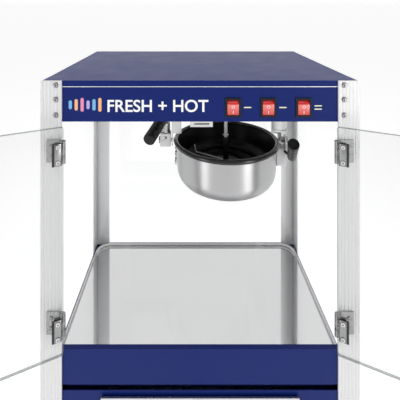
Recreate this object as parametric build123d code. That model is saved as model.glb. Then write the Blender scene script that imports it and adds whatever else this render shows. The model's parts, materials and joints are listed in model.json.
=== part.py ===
"""Popcorn cart: a glass-walled popping cabinet with a tilting kettle, standing on a wheeled cupboard.

Millimetres. +X is to the customer's right, -Y is the serving side, +Z is up, and the floor is z = 0.
Each build function returns {node name: solid, or list of separate solids}.
"""
import os
from math import cos, radians, sin

from build123d import *

# ---- overall sizes -------------------------------------------------------------------------
machine_width = 510.0       # over the corner posts
machine_depth = 340.0       # over the corner posts
cart_height = 760.0         # floor to the top of the cart's tray
foot_height = 14.0          # rubber feet of the machine
base_height = 104.0         # underside of the machine's base to its deck
chamber_height = 430.0      # deck to the header's lower edge
header_height = 66.0        # header's lower edge to the roof

# ---- machine frame and sheet metal ---------------------------------------------------------
sheet = 1.2                 # folded sheet panels
post_leg = 34.0             # corner post, outer leg width
post_wall = 2.5
glass = 4.0                 # panes and doors
lip_height = 10.0           # roof's turned-down edge
flange = 12.0               # return flange under the header
ceiling_rise = 18.0         # ceiling plate above the header's lower edge
deck_lip = 8.0              # raised edge round the deck
deck_gap = 8.0              # deck's edge to the posts' outside
deck_corner = 34.0          # deck's rounded corners
sill_height = 65.0          # front sill above the deck
fit_gap = 0.3               # between pieces that move past each other
running = 0.05              # radial clearance of a pin in its hole

# ---- rocker switches -----------------------------------------------------------------------
switch_x = (53.0, 109.5, 166.0)
switch_rise = 22.7          # switch centre above the header's lower edge
bezel_width, bezel_height, bezel_proud = 25.5, 31.0, 2.2
rocker_width, rocker_radius = 18.4, 11.8
rocker_throw = 16.0         # degrees
rocker_pin = 1.5
switch_depth = 17.0         # housing behind the header panel

# ---- kettle --------------------------------------------------------------------------------
kettle_x = 60.0
kettle_drop = 95.0          # header's lower edge to the rim's centre
rim_radius, rim_tube = 104.0, 4.5
pan_mouth, pan_bottom, pan_depth, pan_corner, pan_wall = 100.0, 88.0, 46.0, 20.0, 2.0
shell_mouth, shell_bottom, shell_depth, shell_corner = 103.0, 101.0, 84.0, 30.0
shaft_radius = 3.5
sleeve_radius = 6.0
wire_radius = 1.5
hanger_width = 24.0
hanger_wall = 2.0
trunnion_radius = 4.0
bracket_width, bracket_top, bracket_low, bracket_wall = 30.0, -13.0, -50.0, 1.5
grip_radius, grip_tail = 11.3, 8.5

# ---- doors ---------------------------------------------------------------------------------
door_top_gap = 4.0          # header to the glass
door_height = 358.0
door_meeting_gap = 3.0
hinge_inset = 42.0          # hinge centre to the glass's end
hinge_height = 36.0
barrel_radius = 3.5
barrel_pin = 1.6
leaf = 1.5
leaf_reach = 28.0           # leaf on the post
clamp_reach = 14.0          # leaf and counter plate on the glass
pad_reach = 17.5            # rubber pad on the glass
door_open = 155.0           # degrees from closed, as the doors stand

# ---- cart ----------------------------------------------------------------------------------
cart_width, cart_depth = 480.0, 320.0
cabinet_floor = 262.0
tray_overhang, tray_flange = 30.0, 18.0
cart_sheet = 1.5
cart_door_thick = 16.0
wheel_radius, tyre_thick, tyre_width = 200.0, 14.0, 26.0
rim_width, spoke_count, spoke_radius = 22.0, 12, 4.0
hub_radius, hub_length = 24.0, 36.0
axle_radius = 8.0
axle_y = 80.0
wheel_x = 276.0
leg_size = 28.0
leg_foot_height = 22.0
handle_radius, handle_reach, handle_half = 12.5, 120.0, 180.0

# ---- places worked out from the sizes ------------------------------------------------------
half_width, half_depth = machine_width / 2, machine_depth / 2
base_z = cart_height + foot_height
deck_z = base_z + base_height
header_z = deck_z + chamber_height
top_z = header_z + header_height
ceiling_z = header_z + ceiling_rise
pivot_z = header_z - kettle_drop
inner_x, inner_y = half_width - post_wall, half_depth - post_wall
post_edge = half_width - post_leg
hinge_x = post_edge - barrel_radius - 0.5
hinge_y = -half_depth - barrel_radius - 0.2
door_z = (header_z - door_top_gap - door_height, header_z - door_top_gap)
hinge_z = (door_z[0] + hinge_inset, door_z[1] - hinge_inset)
hanger_gap = 2.0            # rim to hanger
hanger_x = rim_radius + rim_tube + hanger_gap
cheek_x = hanger_x + hanger_wall + 9.5


def block(x, y, z):
    """A box between three pairs of limits, given in either order."""
    low = [min(pair) for pair in (x, y, z)]
    size = [abs(pair[1] - pair[0]) for pair in (x, y, z)]
    return Pos(*low) * Box(*size, align=(Align.MIN,) * 3)


def rod(radius, start, end):
    """A round bar from one point to another."""
    path = Vector(*end) - Vector(*start)
    place = Plane(origin=start, z_dir=path)
    return place * Cylinder(radius, path.length, align=(Align.CENTER, Align.CENTER, Align.MIN))


def ball(radius, centre):
    """A sphere, used where two bars of one piece meet."""
    return Pos(*centre) * Sphere(radius)


def bowl(mouth, bottom, depth, corner):
    """A solid of revolution with its mouth at z = 0 and a rounded lower edge."""
    body = Cone(bottom, mouth, depth, align=(Align.CENTER, Align.CENTER, Align.MAX))
    return fillet(body.edges().sort_by(Axis.Z)[0], corner)


def screw(place, out, head_radius=3.65, head_height=2.4, shank_radius=1.9, shank=6.0):
    """A pan-head screw whose head sits on `place` and faces `out`."""
    seat = Plane(origin=place, z_dir=out)
    head = Cylinder(head_radius, head_height, align=(Align.CENTER, Align.CENTER, Align.MIN))
    head = fillet(head.edges().sort_by(Axis.Z)[-1], head_height * 0.45)
    slot = Box(head_radius * 1.2, 0.9, 1.0) + Box(0.9, head_radius * 1.2, 1.0)
    body = Cylinder(shank_radius, shank, align=(Align.CENTER, Align.CENTER, Align.MAX))
    return seat * (head - Pos(0, 0, head_height) * slot + body)


def without(body, fasteners):
    """The body with a hole for each fastener's shank."""
    for fastener in fasteners:
        body = body - fastener
    return body


def mirror_x(solid):
    return mirror(solid, about=Plane.YZ)


# ---- frame of the machine ------------------------------------------------------------------
def corner_post(side, end):
    """An angle section standing at one corner; side is -1 or 1 in X, end is -1 or 1 in Y."""
    face = block(
        (side * half_width, side * post_edge), (end * half_depth, end * inner_y), (base_z, top_z)
    )
    flank = block(
        (side * half_width, side * inner_x),
        (end * half_depth, end * (half_depth - post_leg)),
        (base_z, top_z),
    )
    return face + flank


def post_screws():
    """Screws through the posts into the header and the base, on the faces and the flanks."""
    rises = [header_z + rise for rise in (11.0, 36.0, 59.0)] + [base_z + 20, base_z + 80]
    flank_rises = [header_z + rise for rise in (12.0, 54.0)] + [base_z + 20, base_z + 80]
    made = []
    for side in (-1, 1):
        for end in (-1, 1):
            face = [(side * (post_edge + 9.4), end * half_depth, z) for z in rises]
            flank = [(side * half_width, end * (half_depth - 22), z) for z in flank_rises]
            made += [screw(place, (0, end, 0), shank=4.4) for place in face]
            made += [screw(place, (side, 0, 0), shank=4.4) for place in flank]
    return made


def header():
    """Front, side and rear header panels, the roof tray and the ceiling plate."""
    band = (header_z, top_z - lip_height)
    front = block((-inner_x, inner_x), (-inner_y, -inner_y + sheet), band)
    front += block((-inner_x, inner_x), (-inner_y, -inner_y + flange), (header_z, header_z + sheet))
    for x in switch_x:
        front -= Pos(x, -inner_y, header_z + switch_rise) * Box(
            bezel_width - 3, 2 * flange, bezel_height - 3
        )
    rear = block((-inner_x, inner_x), (inner_y, inner_y - sheet), band)
    for row in range(4):
        for column in range(-6, 7):
            rear -= Pos(column * 26, inner_y, header_z + 28 + row * 6) * Box(18, 4, 2.5)
    side = block((inner_x, inner_x - sheet), (-inner_y + sheet, inner_y - sheet), band)
    side -= block(
        (inner_x - 3, inner_x + 3), (-inner_y, -inner_y + flange), (header_z - 1, header_z + sheet)
    )
    roof = block((-inner_x, inner_x), (-inner_y, inner_y), (band[1], top_z))
    roof -= block(
        (-inner_x + sheet, inner_x - sheet), (-inner_y + sheet, inner_y - sheet), (band[1], top_z - sheet)
    )
    reach_x, reach_y = inner_x - sheet, inner_y - sheet
    ceiling = block((-reach_x, reach_x), (-reach_y, reach_y), (ceiling_z, ceiling_z + sheet))
    ceiling -= Pos(kettle_x, 0, ceiling_z) * Cylinder(shaft_radius + 2, 10)
    ceiling -= block(
        (switch_x[0] - bezel_width / 2, switch_x[-1] + bezel_width / 2),
        (-inner_y, -inner_y + switch_depth + 1),
        (ceiling_z - 1, ceiling_z + sheet + 1),
    )
    return {
        "header_front": front,
        "header_rear": rear,
        "header_sides": [side, mirror_x(side)],
        "roof": roof,
        "ceiling_plate": ceiling,
    }


def glazing():
    """Side and rear panes, held inside the posts between the base and the header."""
    low, high = deck_z + deck_lip + 1, header_z
    side = block((inner_x, inner_x - glass), (-inner_y, inner_y - glass), (low, high))
    rear = block((-inner_x, inner_x), (inner_y, inner_y - glass), (low, high))
    return {"side_glass": [side, mirror_x(side)], "rear_glass": rear}


def base():
    """The machine's lower box, its deck, sill, crumb drawer, feet and mains inlet."""
    shell = block((-inner_x, inner_x), (-inner_y, inner_y), (base_z, deck_z - sheet))
    hollow_x, hollow_y = inner_x - sheet, inner_y - sheet
    shell -= block((-hollow_x, hollow_x), (-hollow_y, hollow_y), (base_z + sheet, deck_z))
    drawer_x, drawer_z, drawer_depth = 150.0, (base_z + 24, deck_z - 16), 190.0
    shell -= block(
        (-drawer_x - 1, drawer_x + 1),
        (-inner_y - 1, -hollow_y + 1),
        (drawer_z[0] - 1, drawer_z[1] + 1),
    )
    front_y = -inner_y - post_wall
    tray = block((-drawer_x, drawer_x), (front_y + 3, front_y + drawer_depth), drawer_z)
    tray -= block(
        (-drawer_x + sheet, drawer_x - sheet),
        (front_y + 3 + sheet, front_y + drawer_depth - sheet),
        (drawer_z[0] + sheet, drawer_z[1] + 1),
    )
    face = block(
        (-drawer_x - 8, drawer_x + 8), (front_y, front_y - 3), (drawer_z[0] - 8, drawer_z[1] + 8)
    )
    middle_z = sum(drawer_z) / 2
    tray += face + block((-drawer_x, drawer_x), (front_y, front_y + 3 + sheet), drawer_z)
    knob = rod(4, (0, front_y - 3, middle_z), (0, front_y - 12, middle_z))
    knob += rod(11, (0, front_y - 12, middle_z), (0, front_y - 24, middle_z))
    knob = fillet(knob.edges().group_by(Axis.Y)[0], 3)
    for edge in (-drawer_x - 4, drawer_x + 1):
        guide_y = (-hollow_y, front_y + drawer_depth + 20)
        shell += block((edge, edge + 3), guide_y, (base_z + sheet, middle_z))

    reach_x, reach_y = half_width - deck_gap, half_depth - deck_gap + 1
    plan = RectangleRounded(2 * reach_x, 2 * reach_y, deck_corner)
    hole = RectangleRounded(2 * (reach_x - sheet), 2 * (reach_y - sheet), deck_corner - sheet)
    deck = Pos(0, 0, deck_z - sheet) * extrude(plan, deck_lip + sheet)
    deck -= Pos(0, 0, deck_z) * extrude(hole, deck_lip + 1)
    for row in range(4):
        for column in range(-7, 8):
            shift = 4.5 * (-1) ** row
            deck -= Pos(column * 18 + shift, -reach_y + 26 + row * 11, deck_z) * extrude(
                SlotOverall(12, 6), 2 * sheet, both=True
            )
    sill_z = (deck_z + deck_lip + 0.5, deck_z + sill_height)
    sill_x = inner_x - glass
    sill = block((-sill_x, sill_x), (-inner_y, -inner_y + sheet), sill_z)
    sill += block((-sill_x, sill_x), (-inner_y, -inner_y + 8), (sill_z[1] - sheet, sill_z[1]))

    inlet_width, inlet_height, socket_depth = 28, 20, 18
    inlet_place = Pos(160, inner_y, base_z + 50)
    shell -= inlet_place * Box(inlet_width, 10, inlet_height)
    inlet = Pos(0, 1.5, 0) * Box(50, 3, 24)
    inlet += Pos(0, -socket_depth / 2, 0) * Box(inlet_width, socket_depth, inlet_height)
    inlet -= Box(22, 20, 14)
    for x, rise in ((-7, -2), (0, 2), (7, -2)):
        inlet += Pos(x, -4, rise) * Box(1.6, 12, 3.5)
    inlet = inlet_place * inlet

    feet = []
    for x in (-205, 205):
        for y in (-125, 125):
            foot = Cone(16, 13, foot_height, align=(Align.CENTER, Align.CENTER, Align.MIN))
            feet.append(Pos(x, y, cart_height) * foot)
    return {
        "base_shell": shell,
        "deck_tray": deck,
        "front_sill": sill,
        "crumb_drawer": tray,
        "drawer_knob": knob,
        "mains_inlet": inlet,
        "machine_feet": feet,
    }


# ---- switches ------------------------------------------------------------------------------
def switches():
    """Three rocker switches: black housings in the header, and a red rocker in each."""
    face_y = -inner_y
    pivot_y = face_y - bezel_proud + 3.4
    z = header_z + switch_rise
    housings, rockers = [], {}
    for x, name in zip(switch_x, ("motor_rocker", "heat_rocker", "light_rocker")):
        place = Pos(x, 0, z)
        bezel = Pos(0, face_y - bezel_proud / 2, 0) * Box(bezel_width, bezel_proud, bezel_height)
        bezel = fillet(bezel.edges().group_by(Axis.Y)[0], 1.2)
        box = Pos(0, face_y, 0) * Box(
            bezel_width - 3, switch_depth, bezel_height - 3, align=(Align.CENTER, Align.MIN, Align.CENTER)
        )
        well = Pos(0, pivot_y, 0) * Box(
            rocker_width + 2 * fit_gap, 2 * rocker_radius + 0.8, 2 * (rocker_radius + fit_gap)
        )
        pin_hole = rod(
            rocker_pin + running, (-rocker_width / 2 - 1.6, pivot_y, 0), (rocker_width / 2 + 1.6, pivot_y, 0)
        )
        housings.append(place * (bezel + box - well - pin_hole))

        wedge = Polyline(
            (-4.6, 0), (-2.9, rocker_radius), (6, rocker_radius), (6, -rocker_radius), (-2.9, -rocker_radius),
            close=True,
        )
        body = extrude(Plane.YZ * make_face(wedge), rocker_width / 2, both=True)
        body &= rod(rocker_radius, (-rocker_width / 2, 0, 0), (rocker_width / 2, 0, 0))
        body += rod(rocker_pin, (-rocker_width / 2 - 1.4, 0, 0), (rocker_width / 2 + 1.4, 0, 0))
        rockers[name] = place * Pos(0, pivot_y, 0) * Rot(-rocker_throw / 2, 0, 0) * body
    return {"switch_housings": housings, **rockers}


# ---- kettle --------------------------------------------------------------------------------
def kettle_place():
    """From the kettle's own frame, centred on its rim, to the cart's."""
    return Pos(kettle_x, 0, pivot_z)


def shell_solid():
    return Pos(0, 0, -rim_tube) * bowl(shell_mouth, shell_bottom, shell_depth - rim_tube, shell_corner)


def kettle_bowl():
    """Black pan with a rolled rim, the steel shell round it and the heater between them."""
    pan = bowl(pan_mouth + pan_wall, pan_bottom + pan_wall, pan_depth + pan_wall, pan_corner + pan_wall)
    pan += Torus(rim_radius, rim_tube)
    pan -= bowl(pan_mouth, pan_bottom, pan_depth, pan_corner)
    pan -= Cylinder(pan_mouth - 0.5, 20, align=(Align.CENTER, Align.CENTER, Align.MIN))
    inside = bowl(
        shell_mouth - sheet, shell_bottom - sheet, shell_depth - rim_tube - sheet, shell_corner - sheet
    )
    rim_clear = Torus(rim_radius, rim_tube + 0.02)
    shell = shell_solid() - Pos(0, 0, -rim_tube) * inside - rim_clear
    plate_z = -pan_depth - pan_wall
    heater = Pos(0, 0, plate_z) * Cylinder(62, 4, align=(Align.CENTER, Align.CENTER, Align.MAX))
    heater += Pos(0, 0, plate_z - 6) * Torus(48, 4)
    heater += Pos(0, 0, plate_z - 4) * Cylinder(12, 14, align=(Align.CENTER, Align.CENTER, Align.MAX))
    return {"kettle_pan": pan, "kettle_shell": shell, "kettle_heater": heater}


def kettle_bracket():
    """The right-hand side bracket: a channel on the shell whose cheek rises to the pivot."""
    reach, half = cheek_x + 2.5, bracket_width / 2
    channel = block((95, reach), (-half, half), (bracket_low, bracket_top))
    channel -= block(
        (80, cheek_x), (-half + bracket_wall, half - bracket_wall), (bracket_low - 1, bracket_top + 1)
    )
    cheek = block((cheek_x, reach), (-10, 10), (bracket_low + 10, 0))
    cheek += rod(10, (cheek_x, 0, 0), (reach, 0, 0))
    return channel + cheek - shell_solid()


def kettle_handles():
    """Side brackets, pivots, the block under the dump handle, and both black grips."""
    reach = cheek_x + 2.5
    right = kettle_bracket()
    left = mirror_x(right)
    box_x, box_y, box_z = (-reach - 12, -hanger_x - hanger_wall - 2), (-14, 8), (-9, 17)
    box = block(box_x, box_y, box_z)
    box -= block(
        (box_x[0] + 1.5, box_x[1] - 1.5), (box_y[0] + 1.5, box_y[1] + 1), (box_z[0] - 1, box_z[1] - 1.5)
    )
    box -= Pos((box_x[0] + box_x[1]) / 2, box_y[0], 9.5) * Box(4.5, 8, 4.5)
    box -= rod(trunnion_radius, (box_x[0] - 1, 0, 0), (box_x[1] + 1, 0, 0))

    pin_head = 3.0
    right_pin = rod(trunnion_radius, (hanger_x - 1, 0, 0), (reach, 0, 0))
    right_pin += rod(7, (reach, 0, 0), (reach + pin_head, 0, 0))
    left_pin = rod(trunnion_radius, (-hanger_x + 1, 0, 0), (box_x[0], 0, 0))
    left_pin += rod(7, (box_x[0], 0, 0), (box_x[0] - pin_head, 0, 0))
    right -= right_pin
    left -= left_pin
    washer_thick, washer_step, washer_x = 1.5, 1.7, hanger_x + hanger_wall + 0.6
    washers = []
    for k in range(5):
        near = washer_x + washer_step * k
        washers.append(rod(6.5 - (k % 2), (near, 0, 0), (near + washer_thick, 0, 0)) - right_pin)

    stem_x, stem_top = (box_x[0] + box_x[1]) / 2 + 1, 48.0
    elbow = (stem_x - 2, -20, 58)
    left_stem = rod(8.3, (stem_x, -3, box_z[1]), (stem_x, -3, box_z[1] + 20))
    left_stem += rod(4, (stem_x, -3, box_z[1] + 20), (stem_x, -3, stem_top))
    left_stem += ball(4, (stem_x, -3, stem_top)) + rod(4, (stem_x, -3, stem_top), elbow)
    left_grip = grip(elbow, (stem_x - 27, -96, 36), grip_radius - 0.3)

    tail = (130, -25, -26)
    right_stem = rod(2.5, (118, -bracket_width / 2 - 0.8, -17), tail) + ball(2.5, tail)
    cap = (119.5, -73, 21)
    right_grip = grip(tail, cap, grip_tail)
    left_stem -= left_grip
    right_stem = right_stem - right_grip - right
    place = kettle_place()
    return {
        "kettle_brackets": [place * right, place * left, place * box],
        "trunnion_pins": [place * piece for piece in (right_pin, left_pin, *washers)],
        "dump_handle_stem": place * left_stem,
        "dump_handle_grip": place * left_grip,
        "side_handle_stem": place * right_stem,
        "side_handle_grip": place * right_grip,
    }


def grip(start, end, tail):
    """A moulded grip from its stem end to its rounded cap, `tail` being the stem end's radius."""
    path = Vector(*end) - Vector(*start)
    body = Cone(tail, grip_radius, path.length, align=(Align.CENTER, Align.CENTER, Align.MIN))
    body = fillet(body.edges().sort_by(Axis.Z)[-1], 2.5)
    body = fillet(body.edges().sort_by(Axis.Z)[0], 2.0)
    return Plane(origin=start, z_dir=path) * body


def stirring():
    """Gear motor on the ceiling plate, its drive shaft, and the stirrer that stands in the pan."""
    floor_z = ceiling_z + sheet
    gearbox = Pos(kettle_x - 8, 0, floor_z) * Box(74, 52, 18, align=(Align.CENTER, Align.CENTER, Align.MIN))
    gearbox = fillet(gearbox.edges().filter_by(Axis.Z), 6)
    bore = Pos(kettle_x, 0, floor_z) * Cylinder(
        shaft_radius + running, 14, align=(Align.CENTER, Align.CENTER, Align.MIN)
    )
    gearbox -= bore
    motor = Pos(kettle_x - 20, 0, floor_z + 18) * Cylinder(
        22, 24, align=(Align.CENTER, Align.CENTER, Align.MIN)
    )
    motor = fillet(motor.edges().sort_by(Axis.Z)[-1], 3)
    tip = sleeve_radius + 0.4
    shaft = rod(shaft_radius, (kettle_x, 0, pivot_z + tip), (kettle_x, 0, floor_z + 13))
    cross = rod(1.2, (kettle_x - 6, 0, pivot_z + tip + 4), (kettle_x + 6, 0, pivot_z + tip + 4))

    low = -pan_depth + 2 * wire_radius
    sleeve = rod(sleeve_radius, (0, 0, low - 1), (0, 0, 0)) + ball(sleeve_radius, (0, 0, 0))
    arms = rod(wire_radius, (0, 0, low), (0, 0, low + 4))
    for end in ((-62, 40), (56, -36)):
        foot, tip_point = (*end, low), (end[0] * 1.06, end[1] * 1.06, low + 15)
        arms += rod(wire_radius, (0, 0, low), foot) + ball(wire_radius, foot)
        arms += rod(wire_radius, foot, tip_point) + ball(wire_radius, tip_point)
    arms -= sleeve
    place = kettle_place()
    return {
        "stirring_motor": [gearbox, motor],
        "drive_shaft": shaft + cross,
        "stirrer": [place * sleeve, *(place * solid for solid in arms.solids())],
    }


def hanger():
    """The right-hand hanger: an angle from the ceiling plate to a round eye at the kettle's pivot."""
    half = hanger_width / 2
    top = ceiling_z - pivot_z
    side = block((hanger_x, hanger_x + hanger_wall), (-half, half), (0, top))
    side += rod(half, (hanger_x, 0, 0), (hanger_x + hanger_wall, 0, 0))
    front = block((hanger_x + hanger_wall, hanger_x - 18), (-half, -half + hanger_wall), (17, top))
    foot = block((hanger_x + hanger_wall, hanger_x - 18), (-half, half), (top - hanger_wall, top))
    eye = rod(trunnion_radius + running, (hanger_x - 1, 0, 0), (hanger_x + 5, 0, 0))
    return side + front + foot - eye


def ceiling_fittings():
    """Hangers, the lamp and the slotted utensil plate, all under the ceiling plate."""
    place = kettle_place()
    right = hanger()
    lamp_x, lamp_y, lamp_low = 153.0, -71.0, pivot_z + 50
    length = ceiling_z - lamp_low
    shade = Pos(lamp_x, lamp_y, lamp_low) * (
        Cone(12.5, 26, length, align=(Align.CENTER, Align.CENTER, Align.MIN))
        - Cone(11, 24.5, length - 2, align=(Align.CENTER, Align.CENTER, Align.MIN))
    )
    shade += Pos(lamp_x, lamp_y, lamp_low) * (
        Cylinder(14, 3.5, align=(Align.CENTER, Align.CENTER, Align.MAX)) - Cylinder(9, 8)
    )
    bulb = rod(7, (lamp_x, lamp_y, lamp_low + 22), (lamp_x, lamp_y, ceiling_z - 2))
    bulb += ball(10, (lamp_x, lamp_y, lamp_low + 18))
    plate_x, plate_y = 6.0, -80.0
    plate_low = pivot_z + 55
    plate = block((plate_x - 21, plate_x + 21), (plate_y, plate_y + 1.5), (plate_low, ceiling_z))
    plate += block((plate_x - 21, plate_x + 21), (plate_y, plate_y + 14), (ceiling_z - 1.5, ceiling_z))
    plate -= Pos(plate_x, plate_y, plate_low + 5.5) * Box(29, 8, 2.6)
    return {
        "kettle_hangers": [place * right, place * mirror_x(right)],
        "lamp_shade": shade,
        "lamp_bulb": bulb,
        "utensil_plate": plate,
    }


# ---- doors ---------------------------------------------------------------------------------
def knuckle(z, part):
    """One share of a hinge barrel: the post's outer thirds (part 0) or the door's middle (part 1)."""
    third = hinge_height / 3
    spans = ((-1.5 * third, -0.5 * third - fit_gap), (0.5 * third + fit_gap, 1.5 * third))
    if part:
        spans = ((-0.5 * third, 0.5 * third),)
    return [rod(barrel_radius, (hinge_x, hinge_y, z + a), (hinge_x, hinge_y, z + b)) for a, b in spans]


def post_leaf(z):
    """A hinge's fixed half on the right-hand post, with its two knuckles."""
    height = hinge_height / 2
    back = -half_depth
    made = block((hinge_x, hinge_x + leaf_reach), (back, back - leaf), (z - height, z + height))
    made -= block(
        (hinge_x - 1, hinge_x + barrel_radius + 0.3), (back + 1, back - leaf - 1), (z - 6.3, z + 6.3)
    )
    made -= rod(barrel_radius + fit_gap, (hinge_x, hinge_y, z - 6.3), (hinge_x, hinge_y, z + 6.3))
    for part in knuckle(z, 0):
        made += part
    return made


def post_leaf_screws(z):
    """The two screws that hold a hinge's fixed half on the right-hand post."""
    places = [(hinge_x + 20.5, -half_depth - leaf, z + step) for step in (-8, 8)]
    return [screw(place, (0, -1, 0), 3.2, 1.6, 1.5, 4.5) for place in places]


def door():
    """The right-hand glass door, closed: glass, hinge leaves, pads, screws and knob."""
    outer = -half_depth - 0.2
    pane = block((door_meeting_gap / 2, hinge_x - 0.5), (outer, outer + glass), door_z)
    pane = fillet(pane.edges().filter_by(Axis.Y), 4)
    leaves, plates, pads, screws = [], [], [], []
    height = hinge_height / 2
    for z in hinge_z:
        leaf_solid = block((hinge_x - clamp_reach, hinge_x), (outer, outer - leaf), (z - height, z + height))
        for near, far in ((6, 20), (-20, -6)):
            leaf_solid -= block(
                (hinge_x - barrel_radius - fit_gap, hinge_x + 1),
                (outer + 1, outer - leaf - 1),
                (z + near, z + far),
            )
        for part in knuckle(z, 1):
            leaf_solid += part
        inside = outer + glass
        pad = block((hinge_x - pad_reach, hinge_x - 3), (inside, inside + 0.8), (z - height, z + height))
        plate = block(
            (hinge_x - clamp_reach, hinge_x - 4),
            (inside + 0.8, inside + 2.3),
            (z - height + 1, z + height - 1),
        )
        places = [(hinge_x - 9, inside + 2.3, z + step) for step in (-12, 12)]
        made = [screw(p, (0, 1, 0), 3.2, 1.6, 1.5, 2.3 + glass + leaf) for p in places]
        plates.append(without(plate, made))
        pads.append(without(pad, made))
        pane = without(pane, made)
        leaves.append(without(leaf_solid, made))
        screws += made
    knob_x, knob_z = door_meeting_gap / 2 + 22, sum(door_z) / 2
    knob = rod(3, (knob_x, outer, knob_z), (knob_x, outer - 10, knob_z))
    knob += rod(9, (knob_x, outer - 8, knob_z), (knob_x, outer - 20, knob_z))
    knob = fillet(knob.edges().group_by(Axis.Y)[0], 3)
    axis = (hinge_x, hinge_y)
    pins = [rod(barrel_pin, (*axis, z - height), (*axis, z + height)) for z in hinge_z]
    holes = [rod(barrel_pin + running, (*axis, z - 20), (*axis, z + 20)) for z in hinge_z]
    leaves = [solid - hole for solid, hole in zip(leaves, holes)]
    return {"door_glass": pane, "door_hinges": leaves + plates + pads + screws, "door_knob": knob}, pins


def opened(solid):
    """A right-hand door piece turned about its hinge to where the door stands open."""
    return Pos(hinge_x, hinge_y, 0) * Rot(0, 0, door_open) * Pos(-hinge_x, -hinge_y, 0) * solid


def each(shape, change):
    """`change` done to a solid, or to every solid of a list."""
    return [change(one) for one in shape] if isinstance(shape, list) else change(shape)


def doors():
    """Both doors as they stand open, with the fixed hinge halves on the posts."""
    right, pins = door()
    made = {}
    for name, shape in right.items():
        made[name + "_right"] = each(shape, opened)
        made[name + "_left"] = each(shape, lambda one: mirror_x(opened(one)))
    fixed, leaf_screws = [], []
    for z, pin in zip(hinge_z, pins):
        held = post_leaf_screws(z)
        fixed.append(without(post_leaf(z), held + [pin]))
        leaf_screws += held
    halves = fixed + pins + leaf_screws
    made["post_hinges"] = halves + [mirror_x(one) for one in halves]
    return made


# ---- cart ----------------------------------------------------------------------------------
def cart_cabinet():
    """Cupboard with a tray top, one shelf and a hinged front door."""
    half_x, half_y = cart_width / 2, cart_depth / 2
    under_tray = cart_height - cart_sheet
    body = block((-half_x, half_x), (-half_y, half_y), (cabinet_floor, under_tray))
    body -= block(
        (-half_x + cart_sheet, half_x - cart_sheet),
        (-half_y - 1, half_y - cart_sheet),
        (cabinet_floor + cart_sheet, under_tray - cart_sheet),
    )
    reach_x, reach_y = half_x + tray_overhang, half_y + tray_overhang
    plan = RectangleRounded(2 * reach_x, 2 * reach_y, 16)
    recess = RectangleRounded(2 * (reach_x - cart_sheet), 2 * (reach_y - cart_sheet), 16 - cart_sheet)
    tray = Pos(0, 0, cart_height - tray_flange) * extrude(plan, tray_flange)
    tray -= Pos(0, 0, cart_height - tray_flange - 1) * extrude(recess, tray_flange + 1 - cart_sheet)
    shelf_z = (cabinet_floor + under_tray) / 2
    shelf_x, shelf_y = half_x - cart_sheet, half_y - cart_sheet
    shelf = block((-shelf_x, shelf_x), (-half_y + 12, shelf_y), (shelf_z, shelf_z + cart_sheet))
    shelf += block(
        (-shelf_x, shelf_x), (-half_y + 12, -half_y + 12 + cart_sheet), (shelf_z - 14, shelf_z)
    )

    front = -half_y - fit_gap
    door_x = (-half_x + 2, half_x - 2)
    door_span = (cabinet_floor + 2, cart_height - tray_flange - 4)
    panel = block(door_x, (front, front - cart_door_thick), door_span)
    panel = fillet(panel.edges().group_by(Axis.Y)[0], 3)
    panel -= block(
        (door_x[0] + cart_sheet, door_x[1] - cart_sheet),
        (front + 1, front - cart_door_thick + cart_sheet),
        (door_span[0] + cart_sheet, door_span[1] - cart_sheet),
    )
    pivot = (door_x[0] + 9, front - 8)
    pin_radius, plates, pins = 3, [], []
    panel -= rod(pin_radius + running, (*pivot, door_span[0] - 4), (*pivot, door_span[1] + 4))
    for z, step in ((door_span[0], -1), (door_span[1], 1)):
        pins.append(rod(pin_radius, (*pivot, z - step * 8), (*pivot, z + step * 2.5)))
        plates.append(
            block((pivot[0] - 9, pivot[0] + 12), (-half_y, front - 15), (z + step * 0.5, z + step * 2.5))
        )
    bar_x, bar_z = door_x[1] - 34, sum(door_span) / 2
    bar_y = front - cart_door_thick
    bar = rod(5, (bar_x, bar_y - 24, bar_z - 60), (bar_x, bar_y - 24, bar_z + 60))
    for step in (-50, 50):
        bar += rod(4, (bar_x, bar_y, bar_z + step), (bar_x, bar_y - 24, bar_z + step))
    return {
        "cart_cabinet": body,
        "cart_tray": tray,
        "cart_shelf": shelf,
        "cart_door": panel,
        "cart_door_handle": bar,
        "cart_hinges": [without(plate, pins) for plate in plates] + pins,
    }, pivot


def wheel():
    """A spoked wheel about the X axis at the origin, and its tyre."""
    rim_outer = wheel_radius - tyre_thick
    across = Rot(0, 90, 0)
    rim = across * (Cylinder(rim_outer, rim_width) - Cylinder(rim_outer - 9, rim_width))
    hub = across * Cylinder(hub_radius, hub_length)
    made = rim + hub
    for k in range(spoke_count):
        angle = radians(360 / spoke_count * k)
        direction = Vector(0, cos(angle), sin(angle))
        made += rod(spoke_radius, tuple(direction * (hub_radius - 4)), tuple(direction * (rim_outer - 5)))
    made -= across * Cylinder(axle_radius + running, hub_length + 2)
    tyre = across * (Cylinder(wheel_radius, tyre_width) - Cylinder(rim_outer, tyre_width))
    tyre = fillet(tyre.edges().filter_by(GeomType.CIRCLE).sort_by(SortBy.RADIUS)[-2:], 8)
    return made, tyre


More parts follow.
